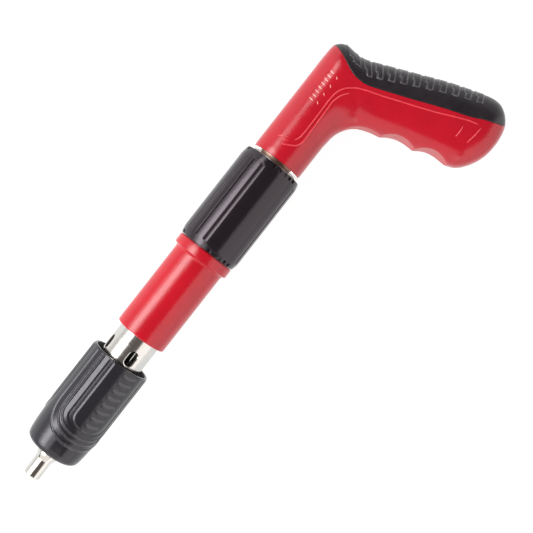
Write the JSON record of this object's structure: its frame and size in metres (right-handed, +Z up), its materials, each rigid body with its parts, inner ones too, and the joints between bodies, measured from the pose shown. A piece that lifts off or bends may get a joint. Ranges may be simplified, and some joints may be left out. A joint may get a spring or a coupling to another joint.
{
  "type": "hand riveter",
  "caption": "Inline push-operated hand fastener driver: steel nozzle, sliding nose in a black cover, red barrel, ribbed twist sleeve and angled pistol grip with rubber pad.",
  "frame": {"origin": "centre of the nozzle's front face, on the barrel axis", "axes": "+X forward out of the nozzle along the barrel, +Y toward the grip, +Z up with the tool lying on its right side"},
  "size_m": [0.3661, 0.1233, 0.042],
  "materials": {
    "red_plastic": "glossy red moulded plastic",
    "black_plastic": "satin black moulded plastic",
    "nickel": "bright nickel plate",
    "steel": "turned steel",
    "rubber": "moulded black rubber",
    "nylon": "natural nylon"
  },
  "bodies": {
    "handle": {"handle_shell_left": "red_plastic", "handle_shell_right": "red_plastic", "grip_pad": "rubber", "handle_screws": "steel", "core_tube": "steel", "collar_ring": "nickel", "rear_plug": "steel", "spring_guide": "steel", "main_spring": "steel", "outer_tube": "red_plastic", "front_bush": "nylon", "return_spring": "steel", "spring_washer": "steel", "stop_pin": "steel", "sleeve_o_rings": "rubber", "travel_stop_ring": "rubber"},
    "lock_sleeve": {"lock_sleeve": "black_plastic", "lock_ring": "nylon"},
    "nose": {"nozzle": "nickel", "nose_plug": "steel", "nose_tube": "nickel", "front_cover": "black_plastic", "cover_o_ring": "rubber", "carrier_sleeve": "steel", "latch_balls": "nickel", "buffer_washers": "rubber", "pin_stop_ring": "steel"},
    "drive_pin": {"drive_pin": "steel", "pin_ring": "rubber"},
    "hammer": {"hammer": "steel", "hammer_rings": "nylon"}
  },
  "joints": [
    {"name": "nose_slide", "type": "slide", "parent": "handle", "child": "nose", "axis": [-1, 0, 0], "range_m": [0, 0.018], "stiffness_N_per_m": 5000, "springref_m": -0.008, "deforming": ["main_spring", "return_spring"]},
    {"name": "hammer_cock", "type": "slide", "parent": "handle", "child": "hammer", "axis": [-1, 0, 0], "range_m": [0, 0.018]},
    {"name": "drive_stroke", "type": "slide", "parent": "nose", "child": "drive_pin", "axis": [1, 0, 0], "range_m": [0, 0.036]},
    {"name": "lock_turn", "type": "hinge", "parent": "handle", "child": "lock_sleeve", "pos_m": [-0.214, 0, 0], "axis": [-1, 0, 0], "range_deg": [0, 60]}
  ],
  "couplings": [
    {"joint": "hammer_cock", "follows": "nose_slide", "ratio": 1}
  ]
}
